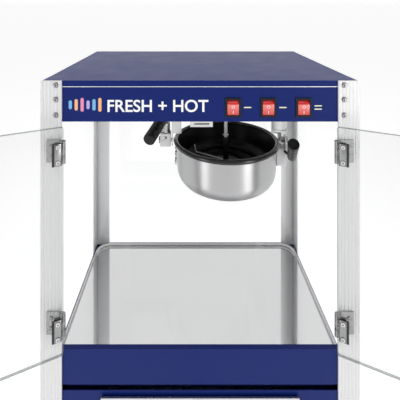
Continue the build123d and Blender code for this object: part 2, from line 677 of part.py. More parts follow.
def running_gear():
    """Axle, wheels, brackets and caps at the back, and two legs with rubber feet at the front."""
    centre = (0, axle_y, wheel_radius)
    spoked, tyre = wheel()
    cap_x = wheel_x + hub_length / 2 + fit_gap
    made = {
        "wheel_right": Pos(wheel_x, *centre[1:]) * spoked,
        "wheel_left": Pos(-wheel_x, *centre[1:]) * spoked,
        "tyre_right": Pos(wheel_x, *centre[1:]) * tyre,
        "tyre_left": Pos(-wheel_x, *centre[1:]) * tyre,
    }
    axle = rod(axle_radius, (-cap_x - 4, *centre[1:]), (cap_x + 4, *centre[1:]))
    caps = []
    for side in (-1, 1):
        cap = rod(16, (side * cap_x, *centre[1:]), (side * (cap_x + 9), *centre[1:]))
        cap = fillet(cap.edges().group_by(Axis.X)[-1 if side > 0 else 0], 4)
        caps.append(cap - axle)
    stops = []
    for side in (-1, 1):
        inner = side * (wheel_x - hub_length / 2 - fit_gap)
        stops.append(rod(13, (inner, *centre[1:]), (inner - side * 8, *centre[1:])) - axle)
    brackets = []
    for side in (-1, 1):
        x = side * (cart_width / 2 - 30)
        plate = block((x - 2, x + 2), (axle_y - 40, axle_y + 40), (wheel_radius - 22, cabinet_floor))
        foot = block((x, x - side * 34), (axle_y - 40, axle_y + 40), (cabinet_floor - 4, cabinet_floor))
        brackets.append(plate + foot - axle)
    legs, feet = [], []
    for side in (-1, 1):
        x, y, half = side * (cart_width / 2 - 26), -cart_depth / 2 + 26, leg_size / 2
        leg = block((x - half, x + half), (y - half, y + half), (leg_foot_height, cabinet_floor))
        wall = 2.0
        leg -= block(
            (x - half + wall, x + half - wall), (y - half + wall, y + half - wall),
            (leg_foot_height - 1, cabinet_floor - 6),
        )
        foot = Pos(x, y, 0) * Cone(22, 17, leg_foot_height, align=(Align.CENTER, Align.CENTER, Align.MIN))
        legs.append(leg)
        feet.append(fillet(foot.edges().sort_by(Axis.Z)[0], 2))
    made.update(axle=[axle, *stops], axle_caps=caps, axle_brackets=brackets, front_legs=legs, leg_feet=feet)
    return made


def push_handle():
    """A bent tube behind the cart with a rubber sleeve on its cross bar."""
    near, far, z = cart_depth / 2, cart_depth / 2 + handle_reach, cart_height - 70
    route = FilletPolyline(
        (-handle_half, near, z),
        (-handle_half, far, z),
        (handle_half, far, z),
        (handle_half, near, z),
        radius=48,
    )
    profile = Plane(origin=route @ 0, z_dir=route % 0) * Circle(handle_radius)
    tube = sweep(profile, route)
    flanges = rod(26, (-handle_half, near, z), (-handle_half, near + 5, z))
    flanges += rod(26, (handle_half, near, z), (handle_half, near + 5, z))
    sleeve = rod(handle_radius + 3.5, (-110, far, z), (110, far, z))
    sleeve = fillet(sleeve.edges(), 2) - rod(handle_radius, (-120, far, z), (120, far, z))
    return {"push_handle": tube + flanges, "handle_sleeve": sleeve}


def assemble():
    """Every node of the cart, in place with the floor at z = 0, before it is centred."""
    nodes = {"corner_posts": []}
    screws = post_screws()
    leaf_screws = [one for z in hinge_z for one in post_leaf_screws(z)]
    leaf_screws += [mirror_x(one) for one in leaf_screws]
    for side in (-1, 1):
        for end in (-1, 1):
            nodes["corner_posts"].append(without(corner_post(side, end), screws + leaf_screws))
    for name, shape in header().items():
        nodes[name] = each(shape, lambda one: without(one, screws))
    nodes.update(glazing())
    lower = base()
    lower["base_shell"] = without(lower["base_shell"], screws)
    nodes.update(lower)
    nodes["post_screws"] = screws
    nodes.update(switches())
    nodes.update({name: kettle_place() * shape for name, shape in kettle_bowl().items()})
    nodes.update(kettle_handles())
    nodes.update(stirring())
    nodes.update(ceiling_fittings())
    nodes.update(doors())
    cabinet, pivot = cart_cabinet()
    nodes.update(cabinet)
    nodes.update(running_gear())
    nodes.update(push_handle())
    return nodes, pivot


def write(nodes, shift):
    """One STEP file for each node, moved so that the cart stands centred on the origin."""
    os.makedirs("parts", exist_ok=True)
    for name, shape in nodes.items():
        solids = shape if isinstance(shape, list) else [shape]
        solids = [Pos(0, shift, 0) * one for one in solids]
        export_step(Compound(children=solids) if len(solids) > 1 else solids[0], f"parts/{name}.step")


nodes, cart_pivot = assemble()
everything = [one for shape in nodes.values() for one in (shape if isinstance(shape, list) else [shape])]
reach = [one.bounding_box() for one in everything]
centre_shift = -(min(box.min.Y for box in reach) + max(box.max.Y for box in reach)) / 2
write(nodes, centre_shift)
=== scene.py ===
"""Looks for the popcorn cart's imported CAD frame, in metres: +Z up, -Y the serving side."""
import json
from math import atan2, cos, pi, radians, sin

import bmesh
import bpy
from mathutils import Matrix, Vector


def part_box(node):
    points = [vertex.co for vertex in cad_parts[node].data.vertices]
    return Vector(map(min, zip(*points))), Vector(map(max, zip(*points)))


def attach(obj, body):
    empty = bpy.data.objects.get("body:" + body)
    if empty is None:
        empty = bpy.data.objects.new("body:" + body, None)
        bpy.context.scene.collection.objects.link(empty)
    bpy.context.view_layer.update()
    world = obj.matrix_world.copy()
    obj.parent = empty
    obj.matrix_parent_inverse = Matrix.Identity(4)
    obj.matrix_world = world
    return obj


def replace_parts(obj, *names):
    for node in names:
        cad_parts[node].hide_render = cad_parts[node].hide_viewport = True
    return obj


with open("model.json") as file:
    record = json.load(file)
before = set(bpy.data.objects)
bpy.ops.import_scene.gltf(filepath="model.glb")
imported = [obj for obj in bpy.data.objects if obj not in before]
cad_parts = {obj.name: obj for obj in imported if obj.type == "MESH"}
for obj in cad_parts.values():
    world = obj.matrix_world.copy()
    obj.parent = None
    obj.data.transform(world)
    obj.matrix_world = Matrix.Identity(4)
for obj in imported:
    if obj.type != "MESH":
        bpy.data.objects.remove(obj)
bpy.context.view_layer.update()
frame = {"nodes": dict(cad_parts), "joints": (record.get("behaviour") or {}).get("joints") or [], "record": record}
joints = {joint["name"]: joint for joint in frame["joints"]}
slot_of = {part["node"]: part["material_slot"] for part in frame["record"]["subparts"]}
MM = 0.001


# ---- materials -------------------------------------------------------------------------------
def shader(name, colour, rough=0.4, metal=0.0, coat=0.0, grain=None, mottle=0.04, bump=0.0, stretch=(1, 1, 1),
           specular=0.5, anisotropic=0.0):
    """A Principled material whose colour and roughness vary a little with an object-space noise."""
    made = bpy.data.materials.new(name)
    made.use_nodes = True
    nodes, links = made.node_tree.nodes, made.node_tree.links
    main = nodes["Principled BSDF"]
    main.inputs["Metallic"].default_value = metal
    main.inputs["Coat Weight"].default_value = coat
    main.inputs["Coat Roughness"].default_value = 0.08
    main.inputs["Specular IOR Level"].default_value = specular
    main.inputs["Anisotropic"].default_value = anisotropic
    place = nodes.new("ShaderNodeTexCoord")
    scale = nodes.new("ShaderNodeMapping")
    scale.inputs["Scale"].default_value = stretch
    noise = nodes.new("ShaderNodeTexNoise")
    noise.inputs["Scale"].default_value = grain or 60.0
    noise.inputs["Detail"].default_value = 3.0
    links.new(place.outputs["Object"], scale.inputs["Vector"])
    links.new(scale.outputs["Vector"], noise.inputs["Vector"])
    tint = nodes.new("ShaderNodeMix")
    tint.data_type = "RGBA"
    tint.inputs["A"].default_value = (*[c * (1 - mottle) for c in colour], 1)
    tint.inputs["B"].default_value = (*[min(1.0, c * (1 + mottle)) for c in colour], 1)
    links.new(noise.outputs["Fac"], tint.inputs["Factor"])
    links.new(tint.outputs["Result"], main.inputs["Base Color"])
    gloss = nodes.new("ShaderNodeMapRange")
    gloss.inputs["To Min"].default_value = rough * 0.85
    gloss.inputs["To Max"].default_value = rough * 1.15
    links.new(noise.outputs["Fac"], gloss.inputs["Value"])
    links.new(gloss.outputs["Result"], main.inputs["Roughness"])
    if bump:
        relief = nodes.new("ShaderNodeBump")
        relief.inputs["Strength"].default_value = bump
        relief.inputs["Distance"].default_value = 0.2 * MM
        links.new(noise.outputs["Fac"], relief.inputs["Height"])
        links.new(relief.outputs["Normal"], main.inputs["Normal"])
    return made


def clear(name, colour, gloss=0.07):
    """Thin clear glass: light passes straight through, with a faint sharp reflection."""
    made = shader(name, colour, rough=0.03, mottle=0.01)
    nodes, links = made.node_tree.nodes, made.node_tree.links
    through = nodes.new("ShaderNodeBsdfTransparent")
    through.inputs["Color"].default_value = (*colour, 1)
    mix = nodes.new("ShaderNodeMixShader")
    mix.inputs["Fac"].default_value = gloss
    links.new(through.outputs["BSDF"], mix.inputs[1])
    links.new(nodes["Principled BSDF"].outputs["BSDF"], mix.inputs[2])
    links.new(mix.outputs["Shader"], nodes["Material Output"].inputs["Surface"])
    nodes["Principled BSDF"].inputs["Metallic"].default_value = 1.0
    return made


materials = {
    "anodised_aluminium": shader("anodised aluminium", (0.68, 0.68, 0.685), 0.34, 0.35, grain=90,
                                 stretch=(1, 1, 0.1)),
    "blue_paint": shader("blue paint", (0.003, 0.014, 0.128), 0.40, grain=25, bump=0.05, specular=0.16),
    "mirror_steel": shader("mirror steel", (0.70, 0.70, 0.705), 0.06, 1.0, grain=12, mottle=0.015),
    "brushed_steel": shader("brushed steel", (0.60, 0.60, 0.605), 0.28, 1.0, grain=160, mottle=0.06,
                            bump=0.06, stretch=(1, 1, 14)),
    "bright_steel": shader("bright steel", (0.44, 0.44, 0.445), 0.22, 1.0, grain=120),
    "clear_glass": clear("clear glass", (0.957, 0.958, 0.958), gloss=0.05),
    "non_stick": shader("non-stick coat", (0.0015, 0.0015, 0.0015), 0.32, grain=300, bump=0.06,
                        specular=0.16),
    "black_plastic": shader("black plastic", (0.005, 0.005, 0.0055), 0.36, grain=400, bump=0.1, specular=0.3),
    "red_rocker": shader("red rocker", (0.62, 0.012, 0.014), 0.22, coat=0.4),
    "motor_grey": shader("grey enamel", (0.20, 0.21, 0.23), 0.34, 0.4, grain=50),
    "black_rubber": shader("black rubber", (0.016, 0.016, 0.016), 0.62, grain=500, bump=0.2),
    "tyre": shader("tyre rubber", (0.020, 0.020, 0.021), 0.7, grain=350, bump=0.3),
    "wheel_enamel": shader("silver enamel", (0.50, 0.51, 0.53), 0.32, 0.6, grain=70),
}
white_ink = shader("white ink", (0.86, 0.86, 0.86), 0.5)
tag_paper = shader("pale tag", (0.78, 0.74, 0.52), 0.5)
# Dark steel for the rivets, also used for the screws' painted shade.
dark_steel_and_painted_shade = shader("dark steel and painted shade", (0.07, 0.07, 0.075), 0.35, 1.0)
satin_steel = shader("satin steel", (0.72, 0.72, 0.725), 0.45, 0.3)
# A paler copy of the posts' aluminium: painted light on faces that the roof and header shade.
aluminium_painted_light = shader("aluminium with painted light", (0.93, 0.93, 0.935), 0.45, 0.1, grain=90, stretch=(1, 1, 0.1))
rolled_black = shader("rolled rim coat", (0.006, 0.006, 0.006), 0.25, grain=200, specular=0.6)
glass_edge = clear("ground glass edge", (0.66, 0.68, 0.67), gloss=0.12)
pane_glass = clear("pane glass", (0.992, 0.994, 0.994), gloss=0.03)
inks = [
    shader("ink " + name, colour, 0.45)
    for name, colour in (
        ("sky", (0.17, 0.42, 0.72)), ("apricot", (0.82, 0.42, 0.20)), ("rose", (0.72, 0.24, 0.42)),
        ("lilac", (0.42, 0.36, 0.70)),
    )
]

hinge_steel = shader("hinge steel", (0.30, 0.30, 0.305), 0.28, 1.0, grain=120)
own_look = {"post_hinges": hinge_steel, "side_glass": pane_glass, "rear_glass": pane_glass,
            "drive_shaft": satin_steel, "utensil_plate": satin_steel}
for node, thing in frame["nodes"].items():
    thing.data.materials.clear()
    thing.data.materials.append(own_look.get(node, materials[slot_of[node]]))


def painted_light_gradient(name, low, high, rough):
    """A gloss plastic painted darker at the bottom and paler at the top of the piece: painted shade below, a
    painted highlight above.
    """
    made = shader(name, high, rough, coat=0.4)
    nodes, links = made.node_tree.nodes, made.node_tree.links
    place, parts, ramp = (nodes.new("ShaderNode" + kind) for kind in ("TexCoord", "SeparateXYZ", "Mix"))
    ramp.data_type = "RGBA"
    ramp.inputs["A"].default_value = (*low, 1)
    ramp.inputs["B"].default_value = (*high, 1)
    links.new(place.outputs["Generated"], parts.inputs["Vector"])
    links.new(parts.outputs["Z"], ramp.inputs["Factor"])
    links.new(ramp.outputs["Result"], nodes["Principled BSDF"].inputs["Base Color"])
    return made


def spun(name, colour, rough):
    """Steel brushed round the axis of the piece, so that highlights stretch up and down it."""
    made = shader(name, colour, rough, 1.0, grain=160, bump=0.05, stretch=(1, 1, 14), anisotropic=0.85)
    nodes = made.node_tree.nodes
    around = nodes.new("ShaderNodeTangent")
    around.direction_type = "RADIAL"
    around.axis = "Z"
    nodes["Principled BSDF"].inputs["Anisotropic Rotation"].default_value = 0.25
    made.node_tree.links.new(around.outputs["Tangent"], nodes["Principled BSDF"].inputs["Tangent"])
    return made


spun_steel = spun("spun steel", (0.50, 0.50, 0.505), 0.36)
# The rockers' lower halves: the red plastic painted darker at the bottom and paler at the top, as painted shade
# and highlight.
rocker_painted_light = painted_light_gradient("rocker face with painted light", (0.55, 0.02, 0.02), (0.84, 0.22, 0.20), 0.25)


# ---- building helpers ------------------------------------------------------------------------
def piece(name, mesh, material, body, smooth=35):
    """Puts a finished bmesh in the scene as a piece that rides on a body."""
    bmesh.ops.recalc_face_normals(mesh, faces=mesh.faces)
    data = bpy.data.meshes.new(name)
    mesh.to_mesh(data)
    mesh.free()
    data.polygons.foreach_set("use_smooth", [True] * len(data.polygons))
    data.set_sharp_from_angle(angle=radians(smooth))
    data.materials.append(material)
    made = bpy.data.objects.new(name, data)
    bpy.context.scene.collection.objects.link(made)
    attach(made, body)
    return made


def plate(low, high, bevel=0.4 * MM, segments=2):
    """A box between two corners with rounded edges."""
    low, high = Vector(low), Vector(high)
    low, high = Vector(map(min, low, high)), Vector(map(max, low, high))
    mesh = bmesh.new()
    bmesh.ops.create_cube(mesh, size=1.0)
    size, middle = high - low, (high + low) / 2
    for vert in mesh.verts:
        vert.co = Vector(c * s for c, s in zip(vert.co, size)) + middle
    bmesh.ops.bevel(
        mesh, geom=mesh.edges[:], offset=min(bevel, min(size) * 0.45), segments=segments, affect="EDGES",
        profile=0.5
    )
    return mesh


def turned(profile, place=Matrix(), steps=64):
    """A profile of (radius, height) points turned about Z, then put in place."""
    mesh = bmesh.new()
    rings = []
    for radius, height in profile:
        if radius < 1e-6:
            rings.append([mesh.verts.new(place @ Vector((0, 0, height)))])
            continue
        turns = [2 * pi * k / steps for k in range(steps)]
        rings.append([
            mesh.verts.new(place @ Vector((radius * cos(turn), radius * sin(turn), height))) for turn in turns
        ])
    for lower, upper in zip(rings, rings[1:]):
        for k in range(steps):
            corners = [lower[k % len(lower)], lower[(k + 1) % len(lower)], upper[(k + 1) % len(upper)],
                       upper[k % len(upper)]]
            unique = list(dict.fromkeys(corners))
            if len(unique) > 2:
                mesh.faces.new(unique)
    return mesh


def raised(outline, depth, place=Matrix(), bevel=0.0):
    """An outline of (x, y) points given a thickness along +Z, then put in place."""
    mesh = bmesh.new()
    base = [mesh.verts.new((x, y, 0)) for x, y in outline]
    face = mesh.faces.new(base)
    grown = bmesh.ops.extrude_face_region(mesh, geom=[face])["geom"]
    top = [v for v in grown if isinstance(v, bmesh.types.BMVert)]
    bmesh.ops.translate(mesh, vec=(0, 0, depth), verts=top)
    if bevel:
        rim = [e for e in mesh.edges if all(v in top for v in e.verts)]
        bmesh.ops.bevel(mesh, geom=rim, offset=bevel, segments=2, affect="EDGES", profile=0.5)
    bmesh.ops.transform(mesh, matrix=place, verts=mesh.verts)
    return mesh


def ring_plate(outer, inner, depth, place=Matrix()):
    """The band between two outlines with as many points each, given a thickness along +Z."""
    mesh = bmesh.new()
    loops = [[mesh.verts.new(place @ Vector((x, y, z))) for x, y in outline]
             for outline, z in ((outer, 0), (outer, depth), (inner, depth), (inner, 0))]
    count = len(outer)
    for near, far in zip(loops, loops[1:] + loops[:1]):
        for k in range(count):
            mesh.faces.new([near[k], near[(k + 1) % count], far[(k + 1) % count], far[k]])
    return mesh


def rounded(low, high, radius, steps=6):
    """A rectangle's outline with rounded corners."""
    centres = ((high[0] - radius, high[1] - radius, 0), (low[0] + radius, high[1] - radius, 90),
               (low[0] + radius, low[1] + radius, 180), (high[0] - radius, low[1] + radius, 270))
    return [point for x, y, start in centres for point in arc((x, y), radius, start, start + 90, steps)]


def arc(centre, radius, start, end, steps=6):
    """Points on an arc, in degrees from start to end."""
    return [
        (centre[0] + radius * cos(radians(start + (end - start) * k / steps)),
         centre[1] + radius * sin(radians(start + (end - start) * k / steps)))
        for k in range(steps + 1)
    ]


def along(start, end):
    """The matrix that stands Z along a line, with its origin at the line's start."""
    direction = Vector(end) - Vector(start)
    return Matrix.Translation(start) @ direction.to_track_quat("Z", "Y").to_matrix().to_4x4()


def joined(*meshes):
    """Several bmeshes as one."""
    whole = bmesh.new()
    for mesh in meshes:
        data = bpy.data.meshes.new("part")
        mesh.to_mesh(data)
        mesh.free()
        whole.from_mesh(data)
        bpy.data.meshes.remove(data)
    return whole


def moved(mesh, matrix):
    bmesh.ops.transform(mesh, matrix=matrix, verts=mesh.verts)
    return mesh


def pan_head(radius, height, place):
    """A cross-recess pan-head screw seated at the matrix's origin and facing its Z, and its painted shade: dark
    cross marks for the shaded recess and a dark disc under the head for the seat's shadow.
    """
    round_edge = height * 0.55
    dome = [(radius, 0)] + arc((radius - round_edge, height * 0.45), round_edge, 0, 90, 4) + [(0, height)]
    head = turned(dome, place, 28)
    slot_size, slot_width = radius * 0.62, radius * 0.13
    # Dark cross bars on the head: painted shade in the cross recess.
    marks = [
        moved(plate((-a, -b, height - 0.1 * MM), (a, b, height + 0.12 * MM), 0.05 * MM), place)
        for a, b in ((slot_size, slot_width), (slot_width, slot_size))
    ]
    # A dark disc a little wider than the head: a painted shadow round the screw's seat.
    seat_shadow_radius = radius + 0.7 * MM
    marks.append(turned([(0, 0), (seat_shadow_radius, 0), (seat_shadow_radius, 0.15 * MM), (0, 0.2 * MM)], place, 28))
    return head, joined(*marks)


# ---- places taken from the frame -------------------------------------------------------------
post_low, post_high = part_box("corner_posts")
header_low, header_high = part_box("header_front")
roof_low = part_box("roof")[0]
centre_y = (post_low.y + post_high.y) / 2
face_y = header_low.y                                # the header's front face
post_leg = 34 * MM
kettle = Vector(joints["kettle_tilt"]["pos_m"])      # the rim's centre


# ---- corner posts ----------------------------------------------------------------------------
def grooved_edge(length, count=6, depth=0.7 * MM):
    """(distance along a face, depth) points of a fluted face, from its corner to its edge."""
    points, pitch = [], length / count
    for k in range(count):
        start = k * pitch
        points += [(start + pitch * 0.10, 0), (start + pitch * 0.24, depth), (start + pitch * 0.76, depth),
                   (start + pitch * 0.90, 0)]
    return points


def post_outline():
    """One post's section with its outer corner at the origin and its legs along +X and +Y."""
    wall, flutes = 2.4 * MM, grooved_edge(post_leg)
    outer_x = [(distance, depth) for distance, depth in flutes]
    outer_y = [(depth, distance) for distance, depth in reversed(flutes)]
    inner = [(post_leg, 0), (post_leg, wall), (wall, wall), (wall, post_leg), (0, post_leg)]
    return [(0, 0)] + outer_x + inner + outer_y


height = post_high.z - post_low.z
posts = {-1: [], 1: []}
for side in (-1, 1):
    for end in (-1, 1):
        corner = Vector((side * post_high.x, centre_y + end * (post_high.y - centre_y), post_low.z))
        flip = Matrix.Diagonal((-side, -end, 1, 1))
        posts[end].append(raised(post_outline(), height, Matrix.Translation(corner) @ flip))
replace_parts(piece("fluted_posts", joined(*posts[-1]), materials["anodised_aluminium"], "frame", smooth=25),
            "corner_posts")
# The rear posts take the paler copy: painted light where the header and roof shade them.
piece("fluted_posts_rear", joined(*posts[1]), aluminium_painted_light, "frame", smooth=25)

heads, painted_shades = [], []
rises = [header_low.z + rise * MM for rise in (11, 36, 59)] + [post_low.z + rise * MM for rise in (20, 80)]
flank_rises = [header_low.z + rise * MM for rise in (12, 54)] + [post_low.z + rise * MM for rise in (20, 80)]
for side in (-1, 1):
    for end in (-1, 1):
        edge = centre_y + end * (post_high.y - centre_y)
        spots = [((side * (post_high.x - 24.6 * MM), edge, z), (0, end, 0)) for z in rises]
        spots += [((side * post_high.x, edge - end * 22 * MM, z), (side, 0, 0)) for z in flank_rises]
        for spot, out in spots:
            head, marks = pan_head(3.65 * MM, 2.35 * MM, along(spot, Vector(spot) + Vector(out)))
            heads.append(head)
            painted_shades.append(marks)
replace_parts(piece("post_screw_heads", joined(*heads), materials["bright_steel"], "frame"), "post_screws")
# The post screws' painted shade: dark cross marks and seat shadows.
piece("post_screw_painted_shades", joined(*painted_shades), dark_steel_and_painted_shade, "frame")


# ---- header: generic word, bars, tags --------------------------------------------------------
upright = Matrix.Translation((0, face_y, 0)) @ Matrix.Rotation(pi / 2, 4, "X")
ink_depth = 0.15 * MM


def lettering(text, height, left, baseline, material, name):
    """Plain lettering that stands on the header's face."""
    curve = bpy.data.curves.new(name, "FONT")
    curve.body = text
    curve.size = height
    curve.extrude = ink_depth / 2
    curve.offset = 0.4 * MM
    made = bpy.data.objects.new(name, curve)
    bpy.context.scene.collection.objects.link(made)
    start = Matrix.Translation((left, face_y - ink_depth / 2, baseline))
    made.matrix_world = start @ Matrix.Rotation(pi / 2, 4, "X")
    bpy.context.view_layer.update()
    data = bpy.data.meshes.new_from_object(made.evaluated_get(bpy.context.evaluated_depsgraph_get()))
    data.transform(made.matrix_world)
    bpy.data.objects.remove(made)
    mesh = bmesh.new()
    mesh.from_mesh(data)
    mesh.normal_update()
    bpy.data.meshes.remove(data)
    return piece(name, mesh, material, "frame")


lettering("FRESH + HOT", 27 * MM, -150 * MM, header_low.z + 16 * MM, white_ink, "header_word")
for k in range(6):
    radius, middle, tall = 2.6 * MM, (-208 + 9.5 * k) * MM, (9, 13, 17)[k % 3] * MM
    level = header_low.z + 27 * MM
    outline = arc((middle, level + tall / 2), radius, 0, 180, 8)
    outline += arc((middle, level - tall / 2), radius, 180, 360, 8)
    piece(f"header_bar_{k}", raised(outline, ink_depth, upright), inks[k % len(inks)], "frame")
# A thin bright strip along the fold between header and roof: a painted highlight on that edge.
fold_highlight = plate((header_low.x + 0.3 * MM, face_y - 0.7 * MM, roof_low.z - 0.5 * MM),
             (header_high.x - 0.3 * MM, face_y + 0.2 * MM, roof_low.z + 0.7 * MM), 0.3 * MM)
piece("header_fold_highlight", fold_highlight, materials["anodised_aluminium"], "frame")

rockers = ("motor_rocker", "heat_rocker", "light_rocker")
for k, name in enumerate(rockers):
    pivot = Vector(joints[name + "_press"]["pos_m"])
    tag_x = pivot.x + 17.5 * MM
    ticks = []
    for step in ((-2.6 * MM, 2.6 * MM) if k == 2 else (0,)):
        low, high = (tag_x, pivot.z + step - 0.9 * MM), (tag_x + 12 * MM, pivot.z + step + 0.9 * MM)
        ticks.append(raised(rounded(low, high, 0.8 * MM, 3), ink_depth, upright))
    piece(f"switch_tag_{k}", joined(*ticks), tag_paper, "frame")


# ---- rockers ---------------------------------------------------------------------------------
def rocker(name):
    """A red rocker with a bright upper half, a lower half whose red is painted paler towards its top as painted
    light, and raised ring and bar marks.
    """
    pivot = Vector(joints[name + "_press"]["pos_m"])
    half, reach, crown, crest = 9.1 * MM, 11.5 * MM, 4.6 * MM, 5.6 * MM
    tip, toe = 0.4 * MM, 3.6 * MM
    place = Matrix.Translation(pivot)
    side = Matrix.Rotation(pi / 2, 4, "Y") @ Matrix.Rotation(pi / 2, 4, "Z")
    top = [(-crown, crest), (-tip, reach), (1.2 * MM, reach), (5 * MM, 9.4 * MM), (5 * MM, crest)]
    low = [(-crown, crest), (5 * MM, crest), (5 * MM, -reach), (-toe, -reach)]
    made = []
    # The lower half takes the red with painted shade at its bottom and a painted highlight at its top.
    for label, outline, material in (("top", top, materials["red_rocker"]), ("low", low, rocker_painted_light)):
        body = raised(outline, 2 * half, place @ Matrix.Translation((-half, 0, 0)) @ side)
        bmesh.ops.bevel(body, geom=body.edges[:], offset=0.5 * MM, segments=2, affect="EDGES", profile=0.5)
        made.append(piece(f"{name}_{label}", body, material, name))
    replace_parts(made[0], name)
    lean = atan2(crown - toe, crest + reach)
    ring = turned(arc((2.1 * MM, 0), 0.4 * MM, 0, 360, 8), steps=32)
    bar = plate((-0.4 * MM, -2.3 * MM, -0.3 * MM), (0.4 * MM, 2.3 * MM, 0.3 * MM), 0.1 * MM)
    for mark, rise, label in ((ring, 1.6 * MM, "ring"), (bar, -6.8 * MM, "bar")):
        depth = crown - (crown - toe) * (crest - rise) / (crest + reach)
        spot = Matrix.Translation((0, -depth, rise)) @ Matrix.Rotation(pi / 2 + lean, 4, "X")
        piece(f"{name}_{label}", moved(mark, place @ spot), white_ink, name)


for name in rockers:
    rocker(name)


# ---- kettle ----------------------------------------------------------------------------------
at_kettle = Matrix.Translation(kettle)


def mm(points):
    return [(r * MM, z * MM) for r, z in points]


pan = [(0, -46), (30, -46), (31, -45.6), (32, -46), (60, -46), (61, -45.6), (62, -46)]
pan += arc((69, -25), 21, -90, -4, 8) + [(100, -2.5)] + arc((104, 0), 4.5, 195, -75, 16) + [(102.4, -4.6)]
pan += arc((69, -26), 22.6, -2, -90, 8) + [(0, -48)]
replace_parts(piece("kettle_pan_coated", turned(mm(pan), at_kettle, 128), materials["non_stick"], "kettle"),
            "kettle_pan")
shell = [(102.9, -4.6), (102.7, -12), (101.3, -54)] + arc((71, -54), 30, 0, -90, 12) + [(0, -84), (0, -82.8)]
shell += arc((71, -54), 28.8, -90, 0, 12) + [(101.5, -12), (101.6, -4.6), (102.9, -4.6)]
shell_mesh = turned(mm(shell), at_kettle, 128)
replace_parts(piece("kettle_shell_spun", shell_mesh, spun_steel, "kettle"), "kettle_shell")


rim = turned(mm(arc((104, 0), 4.6, 0, 360, 24)), at_kettle, 128)
piece("kettle_rim", rim, rolled_black, "kettle")


def ribbed_grip(name, node, start, end, tail, ribs):
    """A moulded grip with ring grooves and a rounded cap at its end."""
    length, full = (Vector(end) - Vector(start)).length / MM, 11.2
    profile = [(0, 0), (tail * 0.8, 0), (tail, 1.8)]
    for k in range(1, ribs):
        z = length * k / ribs
        radius = tail + (full - tail) * z / length
        profile += [(radius, z - 1.1), (radius - 0.9, z - 0.4), (radius - 0.9, z + 0.4), (radius, z + 1.1)]
    profile += [(full, length - 3)] + arc((full - 2.6, length - 2.6), 2.6, 0, 90, 5) + [(0, length)]
    mesh = turned(mm(profile), along(start, end), 48)
    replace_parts(piece(name, mesh, materials["black_plastic"], "kettle", smooth=50), node)


def from_kettle(x, y, z):
    return kettle + Vector((x, y, z)) * MM


block_x = -124.5                                     # middle of the block under the dump handle
near, far, back, front, under, over = -136, -114.5, 8, -14, -9, 17
hole_low, hole_high = (block_x - 2.25, 7.25), (block_x + 2.25, 11.75)
cheeks = (
    ((near, front, under), (far, back, hole_low[1])), ((near, front, hole_high[1]), (far, back, over)),
    ((near, front, hole_low[1]), (hole_low[0], back, hole_high[1])),
    ((hole_high[0], front, hole_low[1]), (far, back, hole_high[1])),
)
sides = [plate(from_kettle(*low), from_kettle(*high), 0.15 * MM) for low, high in cheeks]
sides.append(plate(from_kettle(-105.6, -5, -50), from_kettle(-102.9, 5, -10), 0.8 * MM))
boss_place = along(from_kettle(-105.6, 0, 0), from_kettle(-100, 0, 0))
sides.append(turned(mm([(0, 0), (8, 0), (8, 2.2), (0, 2.2)]), boss_place, 40))
channel = [(-15, -13), (-15, -44)] + arc((-9, -44), 6, 180, 270) + arc((9, -44), 6, 270, 360) + [(15, -13)]
upward = from_kettle(102.8, 0, 0)
flat = Matrix.Translation(upward) @ Matrix.Rotation(pi / 2, 4, "Z") @ Matrix.Rotation(pi / 2, 4, "X")
sides.append(raised(mm(channel), 19.2 * MM, flat, 1.6 * MM))
cheek = [(-10, -40), (10, -40)] + arc((0, 0), 10, 0, 180, 16)
sides.append(moved(raised(mm(cheek), 2.5 * MM, flat), Matrix.Translation((19.2 * MM, 0, 0))))
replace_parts(piece("kettle_side_brackets", joined(*sides), satin_steel, "kettle"),
            "kettle_brackets")
rivet_spots = [(-105.6, 0, level, (-1, 0)) for level in (-16, -30, -44)]
rivet_spots += [(-104.2, -5, level, (0, -1)) for level in (-23, -37)]
rivets = [turned(mm([(0, 0), (1.9, 0), (1.4, 1.1), (0, 1.5)]),
                 along(from_kettle(x, y, z), from_kettle(x + out[0], y + out[1], z)), 20)
          for x, y, z, out in rivet_spots]
piece("bracket_rivets", joined(*rivets), dark_steel_and_painted_shade, "kettle")
ribbed_grip("dump_grip", "dump_handle_grip", from_kettle(block_x - 1.2, -20, 58),
            from_kettle(block_x - 26, -95.5, 36.2), 11.0, 9)
ribbed_grip("side_grip", "side_handle_grip", from_kettle(130, -25, -26), from_kettle(119.5, -72.5, 20.6),
            8.5, 7)


sleeve = [(0, -44), (5.4, -44), (6, -43.4), (6, -1), (5, 2), (4.4, 5.6), (0, 6)]
sleeve_mesh = turned(mm(sleeve), at_kettle, 40)
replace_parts(piece("stirrer_sleeve", sleeve_mesh, materials["black_plastic"], "stirrer"), "stirrer")
wires = []
for x, y in ((-62, 40), (56, -36)):
    path = [from_kettle(0, 0, -42.5), from_kettle(x * 0.94, y * 0.94, -42.5), from_kettle(x, y, -40.5),
            from_kettle(x * 1.04, y * 1.04, -28)]
    for start, end in zip(path, path[1:]):
        span = (end - start).length / MM
        wire = [(0, -1.2), (0.9, -0.9), (1.3, 0), (1.3, span), (0.9, span + 0.9), (0, span + 1.2)]
        wires.append(turned(mm(wire), along(start, end), 16))
piece("stirrer_wires", joined(*wires), satin_steel, "stirrer")


# ---- doors' hinges and knobs -----------------------------------------------------------------
def swing(side):
    """From a right-hand door piece as drawn closed to its place on the open door of that side."""
    pivot = Vector(joints["door_right_hinge"]["pos_m"])
    turn = Matrix.Translation(pivot) @ Matrix.Rotation(radians(155), 4, "Z") @ Matrix.Translation(-pivot)
    return turn if side > 0 else Matrix.Diagonal((-1, 1, 1, 1)) @ turn


